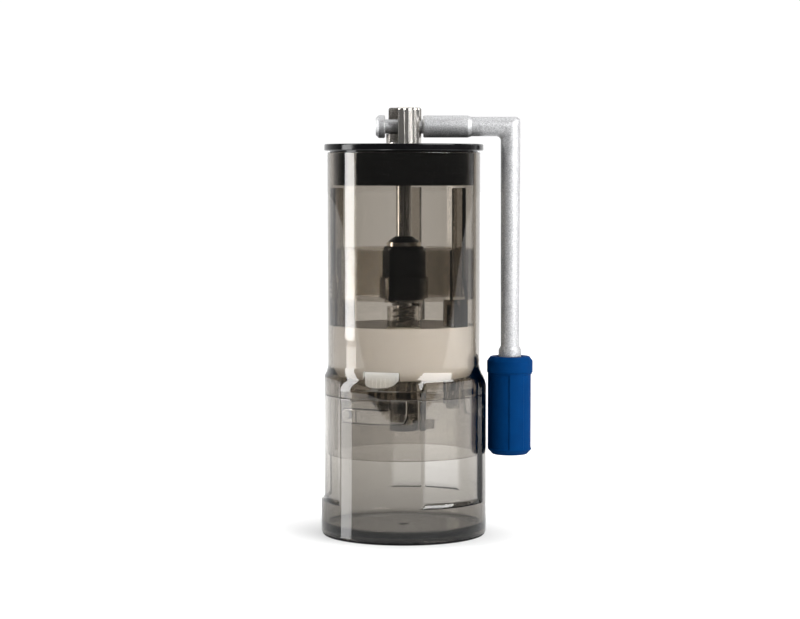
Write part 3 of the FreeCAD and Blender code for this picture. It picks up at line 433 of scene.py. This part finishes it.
def make_body(material):
    """Hopper, flare and skirt in one moulding, with its ribs, screw posts and lugs."""
    outer, straight, top, seam = JAR_HIGH.x, HOPPER_RADIUS, BODY_HIGH.z, JAR_HIGH.z + SEAM_GAP
    bend = ((outer - straight) ** 2 + (FLARE_HIGH - FLARE_LOW) ** 2) / (4 * (outer - straight))
    flare = []
    for step in range(FLARE_STEPS + 1):
        height = FLARE_LOW + (FLARE_HIGH - FLARE_LOW) * step / FLARE_STEPS
        if step <= FLARE_STEPS / 2:
            flare.append((outer - bend + math.sqrt(bend ** 2 - (height - FLARE_LOW) ** 2), height))
        else:
            rise = FLARE_HIGH - height
            flare.append((straight + bend - math.sqrt(bend ** 2 - rise ** 2), height))
    outline = rounded([
        (SKIRT_BORE, BODY_LOW.z, 0.3), (SKIRT_RADIUS, BODY_LOW.z, 0.3), (SKIRT_RADIUS, seam),
        (outer, seam, EDGE_ROUND)] + flare + [
        (straight, top, 0.4), (HOPPER_BORE, top, 0.4), (HOPPER_BORE, RIB_TOP + 0.2),
        (HOPPER_BORE, RIB_TOP), (HOPPER_BORE, RIB_TAPER_TOP), (HOPPER_BORE, POST_TOP + 0.2),
        (HOPPER_BORE, POST_TOP), (HOPPER_BORE, POST_LOW), (HOPPER_BORE, POST_LOW - 0.2),
        (HOPPER_BORE, BORE_STEP_HIGH), (SKIRT_BORE, BORE_STEP_LOW)])
    outline = divided(outline, POST_TOP + 0.2, RIB_TAPER_TOP, 0.6)
    outline = divided(outline, LUG_HEIGHT - 3, LUG_HEIGHT + 3, 0.35, SKIRT_RADIUS)
    maker = bmesh.new()
    spin(maker, outline, SHELL_STEPS, body_surface, start=SCOOP_MIDDLE)
    piece = finished("body_shell", maker, material, 40)
    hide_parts("upper_body")
    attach(piece, "body")


# ---------------------------------------------------------------- crank and grip
BARREL_LEFT, BARREL_RIGHT, TAPER_RIGHT = 8.7, 28.7, 30.4
NECK_RADIUS, BARREL_RADIUS, TUBE_RADIUS, LEG_RADIUS, COLLAR_RADIUS = 3.2, 4.95, 4.35, 4.4, 5.15
ELBOW_ROUND, ELBOW_STEPS, ARM_SIDES = 2.0, 8, 64
COLLAR_TOP, COLLAR_FULL = 84.6, 83.2


def make_crank_arm(material):
    """The one-piece casting: neck, barrel, tube, mitred elbow, leg and collar."""
    neck = [(ARM_LOW.x, NECK_RADIUS), (BARREL_LEFT, NECK_RADIUS)]
    barrel = rounded([(BARREL_LEFT, NECK_RADIUS), (BARREL_LEFT, BARREL_RADIUS, 0.6),
                      (BARREL_RIGHT, BARREL_RADIUS, 0.8), (TAPER_RIGHT, TUBE_RADIUS, 0.5),
                      (LEG_X - 8, TUBE_RADIUS)], steps=3)[1:]
    collar = rounded([(0, COLLAR_TOP), (LEG_RADIUS, COLLAR_TOP, 0.3),
                      (COLLAR_RADIUS, COLLAR_FULL, 0.4), (COLLAR_RADIUS, ARM_LOW.z, 0.5),
                      (0, ARM_LOW.z)], steps=3)[1:-1]
    maker = bmesh.new()
    loops = []

    def ring(spots):
        loops.append([maker.verts.new(Vector(spot) * MM) for spot in spots])

    angles = [2 * math.pi * side / ARM_SIDES for side in range(ARM_SIDES)]
    for x, radius in neck + [tuple(point) for point in barrel]:
        ring([(x, radius * math.sin(a), CRANK_Z + radius * math.cos(a)) for a in angles])
    for step in range(ELBOW_STEPS + 1):
        lean = math.pi / 2 * step / ELBOW_STEPS
        ring([(LEG_X + LEG_RADIUS * math.cos(a) - ELBOW_ROUND * (1 - math.sin(lean)),
               TUBE_RADIUS * math.sin(a),
               CRANK_Z + TUBE_RADIUS * math.cos(a) - ELBOW_ROUND * (1 - math.cos(lean)))
              for a in angles])
    for radius, height in collar:
        ring([(LEG_X + radius * math.cos(a), radius * math.sin(a), height) for a in angles])
    for first, second in zip(loops, loops[1:]):
        for side in range(ARM_SIDES):
            after = (side + 1) % ARM_SIDES
            maker.faces.new([first[side], first[after], second[after], second[side]])
    maker.faces.new(loops[0])
    maker.faces.new(loops[-1])
    piece = finished("crank_arm_casting", maker, material, 40)
    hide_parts("crank_arm")
    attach(piece, "arm")


# ---------------------------------------------------------------- the crank head
HEAD_FLUTES, FLUTE_DEPTH, FLUTE_STEPS, HEAD_EDGE, SHANK_RADIUS = 24, 0.32, 10, 1.1, 6.0
FLUTE_SHARPNESS, FLUTE_LENGTH, HEAD_GAP, FLAT_LOW = 0.7, 16, 0.1, 0.6
BORE_CUTTER, SOCKET_CUTTER = 30, 40
WINDOW_RIGHT, WINDOW_BACK, WINDOW_LOW, CROSS_BORE = -2.6, 3.7, 180.1, 3.25
SOCKET_CORNER, SOCKET_TOP, FLAT_BACK = 4.14, 177.4, -4.6


def head_surface(azimuth, radius, height):
    """Upright flutes round the head, running out at its rounded top."""
    if radius < HEAD_HIGH.x - HEAD_EDGE or height < HEAD_HIGH.z - FLUTE_LENGTH:
        return radius
    wave = abs(math.sin(math.radians(azimuth * HEAD_FLUTES / 2)))
    return radius - FLUTE_DEPTH * wave ** FLUTE_SHARPNESS


def cutter(name, maker):
    """A closed shape that is only used to cut."""
    mesh = bpy.data.meshes.new(name)
    bmesh.ops.recalc_face_normals(maker, faces=maker.faces)
    maker.to_mesh(mesh)
    maker.free()
    piece = bpy.data.objects.new(name, mesh)
    bpy.context.scene.collection.objects.link(piece)
    return piece


def prism(sides, radius, length, place):
    """A closed prism along its local Z, for cutting."""
    maker = bmesh.new()
    bmesh.ops.create_cone(maker, cap_ends=True, segments=sides, radius1=radius * MM,
                          radius2=radius * MM, depth=length * MM, matrix=place)
    return maker


def block(low, high):
    """A closed box between two corners, for cutting."""
    maker = bmesh.new()
    bmesh.ops.create_cube(maker, size=1)
    low, high = Vector(low) * MM, Vector(high) * MM
    bmesh.ops.scale(maker, verts=maker.verts, vec=high - low)
    bmesh.ops.translate(maker, verts=maker.verts, vec=(low + high) / 2)
    return maker


def carved(piece, tools):
    """Cut the tools out of a piece for good, and delete them."""
    for tool in tools:
        cut = piece.modifiers.new("cut", "BOOLEAN")
        cut.object, cut.operation, cut.solver = tool, "DIFFERENCE", "EXACT"
    cuts = bpy.context.evaluated_depsgraph_get()
    mesh = bpy.data.meshes.new_from_object(piece.evaluated_get(cuts))
    piece.modifiers.clear()
    piece.data = mesh
    for tool in tools:
        bpy.data.objects.remove(tool)


def make_head(material, cut_and_shaded):
    """The steel head: fluted outside, with a window cut out where the crank's neck lies. The
    window's cut faces take a darker steel: its coarse streaks are the cut finish, its dark colour
    is painted shade.
    """
    radius, top, foot = HEAD_HIGH.x, HEAD_HIGH.z, LID_HIGH.z + HEAD_GAP
    outline = rounded([
        (0, HEAD_LOW.z), (SHANK_RADIUS, HEAD_LOW.z, 0.3), (SHANK_RADIUS, foot),
        (radius, foot, 0.2), (radius, top, HEAD_EDGE), (0, top)], steps=6)
    maker = bmesh.new()
    spin(maker, outline, HEAD_FLUTES * FLUTE_STEPS, head_surface)
    piece = finished("crank_head_fluted", maker, material, 50)
    piece.data.materials.append(cut_and_shaded)
    piece.modifiers.clear()
    across = Matrix.Translation((0, 0, CRANK_Z * MM)) @ Matrix.Rotation(math.pi / 2, 4, "Y")
    upright = Matrix.Translation((0, 0, (SOCKET_TOP - SOCKET_CUTTER / 2) * MM))
    socket = upright @ Matrix.Rotation(math.pi / 6, 4, "Z")
    tools = [cutter("window", block((-2 * radius, -2 * radius, WINDOW_LOW),
                                    (WINDOW_RIGHT, WINDOW_BACK, 2 * top))),
             cutter("flat", block((-2 * radius, -2 * radius, LID_HIGH.z + FLAT_LOW),
                                  (WINDOW_RIGHT, FLAT_BACK, WINDOW_LOW + 1))),
             cutter("bore", prism(64, CROSS_BORE, BORE_CUTTER, across)),
             cutter("socket", prism(6, SOCKET_CORNER, SOCKET_CUTTER, socket))]
    carved(piece, tools)
    # The window's inner walls and floor take the darker steel, whose dark colour is painted shade.
    for face in piece.data.polygons:
        spot = face.center / MM
        inside = spot.x < WINDOW_RIGHT + 0.05 and spot.z > LID_HIGH.z + 0.5
        if inside and spot.y < WINDOW_BACK + 0.05 and (
                math.hypot(spot.x, spot.y) < radius - 0.5 or spot.z < WINDOW_LOW + 0.05):
            face.material_index = 1
    piece.data.set_sharp_from_angle(angle=math.radians(35))
    piece.modifiers.new("level", "WEIGHTED_NORMAL").keep_sharp = True
    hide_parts("crank_head")
    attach(piece, "head")


# ---------------------------------------------------------------- the grip
GRIP_BORE, PANEL_DEPTH, PANEL_HALF, PANEL_MIDDLE = 6.0, 0.45, 39, -43.5
PANEL_LOW, PANEL_TOP, PANEL_EASE = 38.6, 72.2, 0.45
MOUTH_RADIUS, GRIP_FLOOR, FOOT_INSET, FOOT_RISE = 6.6, 37.6, 2.2, 2.4
SHOULDER_INSET, SHOULDER_DROP, GRIP_SEAM = 1.5, 2.0, 0.05


def grip_surface(azimuth, radius, height):
    """Three shallow panels let into the grip."""
    if radius < SLEEVE_HIGH.x - LEG_X - 2.5:
        return radius
    offset = nearest_third(azimuth, PANEL_MIDDLE)
    side = (PANEL_HALF - abs(offset)) * math.radians(1) * radius
    inset = ramp(min(side, height - PANEL_LOW, PANEL_TOP - height) / PANEL_EASE + 0.5)
    return radius - PANEL_DEPTH * inset


def make_grip(material):
    """The soft sleeve with its panels, and the raised band above it."""
    outer, band = SLEEVE_HIGH.x - LEG_X, COLLAR_HIGH.x - LEG_X
    top, collar_top = SLEEVE_HIGH.z - GRIP_SEAM, COLLAR_HIGH.z
    sleeve = rounded([
        (MOUTH_RADIUS, SLEEVE_LOW.z, 0.2), (outer - FOOT_INSET, SLEEVE_LOW.z, 0.9),
        (outer, SLEEVE_LOW.z + FOOT_RISE, 1.2), (outer, top), (GRIP_BORE, top),
        (GRIP_BORE, GRIP_FLOOR), (MOUTH_RADIUS, GRIP_FLOOR)])
    for edge in (PANEL_LOW, PANEL_TOP):
        sleeve = divided(sleeve, edge - 0.6, edge + 0.6, 0.2)
    collar = rounded([
        (GRIP_BORE, COLLAR_LOW.z), (band, COLLAR_LOW.z, 0.25),
        (band, collar_top - SHOULDER_DROP, 0.8), (band - SHOULDER_INSET, collar_top, 0.5),
        (GRIP_BORE, collar_top, 0.3)])
    place = Matrix.Translation(Vector((LEG_X, 0, 0)) * MM)
    turned("grip_sleeve_soft", sleeve, material, "grip", ["grip_sleeve"], 240,
           grip_surface, place, 40)
    turned("grip_collar_soft", collar, material, "grip", ["grip_collar"], 128,
           None, place)


# ---------------------------------------------------------------- small pieces
SCREW_RADIUS, THREAD_PITCH, THREAD_DEPTH, THREAD_CREST = 1.5, 0.8, 0.28, 0.08
THREAD_LOW, TIP_LENGTH, TIP_RADIUS, SOCKET_DEPTH, SCREW_HEAD, HEAD_HEIGHT = (
    92.0, 0.4, 0.9, 1.0, 2.9, 2.2)


def make_screws(material):
    """Three long screws with rolled threads where they bite into the posts."""
    low, high = (Vector(corner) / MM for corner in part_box("housing_screws"))
    tip = high.z - TIP_LENGTH

    def thread(azimuth, radius, height):
        if height < THREAD_LOW or height > tip or radius < SCREW_RADIUS - 0.1:
            return radius
        turn = ((height - azimuth / 360 * THREAD_PITCH) / THREAD_PITCH) % 1
        return radius + THREAD_CREST - THREAD_DEPTH * abs(2 * turn - 1)

    outline = rounded([
        (0, low.z + SOCKET_DEPTH), (SCREW_RADIUS, low.z + SOCKET_DEPTH),
        (SCREW_RADIUS, low.z, 0.1), (SCREW_HEAD, low.z, 0.6),
        (SCREW_HEAD, low.z + HEAD_HEIGHT, 0.2), (SCREW_RADIUS, low.z + HEAD_HEIGHT),
        (SCREW_RADIUS, tip), (TIP_RADIUS, high.z), (0, high.z)], steps=3)
    outline = divided(outline, THREAD_LOW, tip, THREAD_PITCH / 6)
    maker = bmesh.new()
    for third in THIRDS:
        azimuth = math.radians(RIB_AZIMUTH + third)
        centre = Vector((math.sin(azimuth), -math.cos(azimuth), 0)) * POST_CIRCLE * MM
        spin(maker, outline, 24, thread, place=Matrix.Translation(centre))
    piece = finished("housing_screws_threaded", maker, material, 40)
    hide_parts("housing_screws")
    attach(piece, "body")


# ---------------------------------------------------------------- studio
CAMERA_DISTANCE, CAMERA_HEIGHT, CAMERA_SIDE = 1.0, 0.164, -0.0017
CAMERA_LENS, CAMERA_PITCH = 100, 3.59
FLOOR_RADIUS, FLOOR_FRONT = 8.0, 0.5
STRIP_AZIMUTH = -88.5
CARD_HEIGHT, CARD_NEAR, CARD_FAR, CARD_RADIANCE = 0.0002, 0.004, 1.1, 5.0
# The highlight's edges on the jar, and how far the view to them is turned from straight on.
SHINE_LEFT, SHINE_RIGHT, SHINE_TURN = -49.3, -39.4, 1.5


def make_camera():
    """A long lens a metre away, a little below the mill's top and tilted slightly down."""
    data = bpy.data.cameras.new("studio_camera")
    data.lens = CAMERA_LENS
    camera = bpy.data.objects.new("studio_camera", data)
    camera.location = (CAMERA_SIDE, -CAMERA_DISTANCE, CAMERA_HEIGHT)
    camera.rotation_euler = (math.radians(90 - CAMERA_PITCH), 0, 0)
    bpy.context.scene.collection.objects.link(camera)
    bpy.context.scene.camera = camera


def softbox(name, azimuth, height, distance, width, tall, radiance, aim=0.1):
    """A soft rectangular light whose brightness is given as seen, not as power."""
    data = bpy.data.lights.new(name, "AREA")
    data.shape = "RECTANGLE"
    data.size, data.size_y = width, tall
    data.energy = radiance * math.pi * width * tall
    lamp = bpy.data.objects.new(name, data)
    angle = math.radians(azimuth)
    lamp.location = (distance * math.sin(angle), -distance * math.cos(angle), height)
    lamp.rotation_euler = (lamp.location - Vector((0, 0, aim))).to_track_quat("Z", "Y").to_euler()
    bpy.context.scene.collection.objects.link(lamp)


def table_card():
    """The strip light's image in the glossy table, which carries its highlight down the jar."""
    corners = []
    for azimuth, far in ((SHINE_LEFT, CARD_NEAR), (SHINE_LEFT, CARD_FAR),
                         (SHINE_RIGHT, CARD_FAR), (SHINE_RIGHT, CARD_NEAR)):
        start, away = math.radians(azimuth), math.radians(2 * azimuth + SHINE_TURN)
        corners.append((JAR_HIGH.x * MM * math.sin(start) + far * math.sin(away),
                        -JAR_HIGH.x * MM * math.cos(start) - far * math.cos(away), CARD_HEIGHT))
    mesh = bpy.data.meshes.new("table_card")
    mesh.from_pydata(corners, [], [(0, 1, 2, 3)])
    material, tree, output = blank("table_shine")
    shine = add(tree, "Emission", Color=(1, 1, 1, 1), Strength=CARD_RADIANCE)
    tree.links.new(shine.outputs[0], output.inputs["Surface"])
    mesh.materials.append(material)
    card = bpy.data.objects.new("table_card", mesh)
    card.visible_camera = card.visible_diffuse = card.visible_transmission = False
    card.visible_shadow = False
    bpy.context.scene.collection.objects.link(card)


def make_lights():
    """A tall strip from the left, a key from the front right and a soft fill from above."""
    softbox("strip_left", azimuth=STRIP_AZIMUTH, height=0.12, distance=1.2, width=0.41, tall=2.2,
            radiance=9)
    softbox("key_right", azimuth=53, height=0.80, distance=1.3, width=1.3, tall=0.9, radiance=9)
    softbox("top_fill", azimuth=180, height=1.7, distance=0.3, width=1.6, tall=1.2, radiance=1.5)


def make_surround():
    """White behind the mill, a darker room in its reflections, and more light into its inside."""
    world = bpy.data.worlds.new("studio")
    world.use_nodes = True
    tree = world.node_tree
    tree.nodes.clear()
    output = add(tree, "OutputWorld")
    places = add(tree, "TexCoord")
    split = add(tree, "SeparateXYZ", {"Vector": places.outputs["Generated"]})
    surround = add(tree, "MapRange", {"Value": split.outputs["Y"]}, From_Min=0.35, From_Max=0.85,
                   To_Min=0.10, To_Max=1.0)
    path = add(tree, "LightPath")
    bounced = add(tree, "Math", {0: path.outputs["Glossy Depth"],
                                 1: path.outputs["Diffuse Depth"]}, operation="ADD")
    straight = add(tree, "Math", {0: bounced.outputs[0]}, operation="LESS_THAN")
    inside = add(tree, "Math", {0: path.outputs["Is Transmission Ray"],
                                1: path.outputs["Diffuse Depth"]}, operation="MULTIPLY")
    lamp = add(tree, "VectorMath", {0: places.outputs["Generated"]}, operation="DOT_PRODUCT")
    lamp.inputs[1].default_value = (0.45, -0.82, 0.20)
    lit = add(tree, "MapRange", {"Value": lamp.outputs["Value"]}, From_Min=-0.2, From_Max=0.9,
              To_Min=1.6, To_Max=6.0)
    room = add(tree, "Background", {"Strength": surround.outputs[0]}, Color=(1, 1, 1, 1))
    through = add(tree, "Background", {"Strength": lit.outputs[0]}, Color=(1, 1, 1, 1))
    backdrop = add(tree, "Background", Color=(1, 1, 1, 1), Strength=1.02)
    indirect = add(tree, "MixShader", {0: inside.outputs[0], 1: room.outputs[0],
                                       2: through.outputs[0]})
    both = add(tree, "MixShader", {0: straight.outputs[0], 1: indirect.outputs[0],
                                   2: backdrop.outputs[0]})
    tree.links.new(both.outputs[0], output.inputs["Surface"])
    bpy.context.scene.world = world


def make_floor():
    """A white table that glows more with distance, so that no horizon shows. Its dimmer glow close
    to the mill paints a contact shadow round the foot.
    """
    bpy.ops.mesh.primitive_circle_add(vertices=96, radius=FLOOR_RADIUS, fill_type="NGON",
                                      location=(0, FLOOR_RADIUS - FLOOR_FRONT, 0))
    floor = bpy.context.object
    floor.name = "studio_floor"
    material, tree, output = blank("floor_white")
    where = add(tree, "NewGeometry")
    spread = add(tree, "VectorMath", {0: where.outputs["Position"]}, operation="LENGTH")
    # Both ramps dim the table close to the mill, a painted contact shadow; the second is what the
    # camera sees.
    far = add(tree, "MapRange", {"Value": spread.outputs["Value"]}, From_Min=0.06, From_Max=0.4,
              To_Min=0.40, To_Max=1.02)
    matt = add(tree, "BsdfDiffuse", Color=(0.37, 0.37, 0.37, 1))
    painted_shadow_ring = add(tree, "MapRange", {"Value": spread.outputs["Value"]}, From_Min=0.036,
               From_Max=0.085, To_Min=0.45, To_Max=1.02)
    path = add(tree, "LightPath")
    seen = add(tree, "Mix", {"Factor": path.outputs["Is Camera Ray"]})
    tree.links.new(far.outputs[0], seen.inputs["A"])
    tree.links.new(painted_shadow_ring.outputs[0], seen.inputs["B"])
    glow = add(tree, "Emission", {"Strength": seen.outputs["Result"]}, Color=(1, 1, 1, 1))
    whole = add(tree, "AddShader", {0: matt.outputs[0], 1: glow.outputs[0]})
    tree.links.new(whole.outputs[0], output.inputs["Surface"])
    floor.data.materials.append(material)


# ---------------------------------------------------------------- finishes on the CAD pieces
smoke_hopper = copolyester_moulded("copolyester_hopper", (0.228, 0.250, 0.282))
smoke_bridge = copolyester_moulded("copolyester_bridge", (0.060, 0.068, 0.080))
smoke_jar = copolyester_moulded("copolyester_jar", (0.288, 0.308, 0.340))
black_gloss = abs_moulded_gloss("abs_black_gloss", "#060607")
rubber_black = elastomer_moulded("rubber_black", "#060607", "#0a0a0b", gloss=0.15)
soft_blue = elastomer_moulded("elastomer_blue", "#003569", "#003061", roughness=(0.6, 0.7),
                              gloss=0.03)
ivory = polymer_satin("pbt_ivory", "#f1efed", "#ece9e5")
# The knob's glow is painted light, lifting it where the housing above shades it.
white = polymer_satin("acetal_white", "#fbfbfa", "#f7f7f6", glow=0.65)
natural = polymer_satin("acetal_natural", "#dcd8cc", "#d2cdbf")
ceramic = alumina_sintered("alumina_burr")
bright_steel = steel_drawn("stainless_drawn", "#a9a49e")
polished_steel = steel_drawn("steel_polished", "#e2ded8", roughness=(0.16, 0.26), streak_mm=0.8)
# A darker steel for the head's cut window: coarse streaks as cut, and a dark colour that is
# painted shade.
cut_and_shaded_steel = steel_drawn("steel_cut_painted_shade", "#5d544c", roughness=(0.3, 0.5), streak_mm=0.4, along=1)
nickel = steel_drawn("nickel_plate", "#cdbfa6", roughness=(0.1, 0.2), streak_mm=2.0, along=1)
wire = steel_drawn("spring_wire", "#8f8b86", roughness=(0.25, 0.35), streak_mm=0.6, along=1)
silver = aluminium_sand_cast("aluminium_silver", "#dededf", "#9a9b9d")

FINISHES = {
    black_gloss: ["lid", "bearing_boss", "bearing_cap", "shaft_cone"],
    rubber_black: ["base_pad"],
    soft_blue: ["grip_plug"],
    smoke_hopper: ["bearing_spider", "spring_cup", "adjuster"],
    smoke_bridge: ["lower_bridge"],
    ivory: ["burr_housing"],
    white: ["clamp_knob"],
    natural: ["upper_bushing", "lower_bushing", "lid_bush", "grip_core", "burr_hub"],
    ceramic: ["outer_burr", "inner_burr"],
    bright_steel: ["drive_shaft", "spring_seat", "burr_retainer", "thrust_ball",
                   "knob_stem", "stem_nut", "grip_spindle", "grip_washer", "grip_screw",
                   "arm_cap_screw"],
    nickel: ["thrust_washer"],
    wire: ["compression_spring", "head_clip"],
    silver: ["arm_end_cap"],
}
for finish, names in FINISHES.items():
    for node_name in names:
        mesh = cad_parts[node_name].data
        mesh.materials.clear()
        mesh.materials.append(finish)

make_camera()
make_jar(smoke_jar)
make_body(smoke_hopper)
make_crank_arm(silver)
make_head(polished_steel, cut_and_shaded_steel)
make_grip(soft_blue)
make_screws(bright_steel)
table_card()
make_lights()
make_surround()
make_floor()
bpy.context.scene.view_settings.view_transform = "Standard"
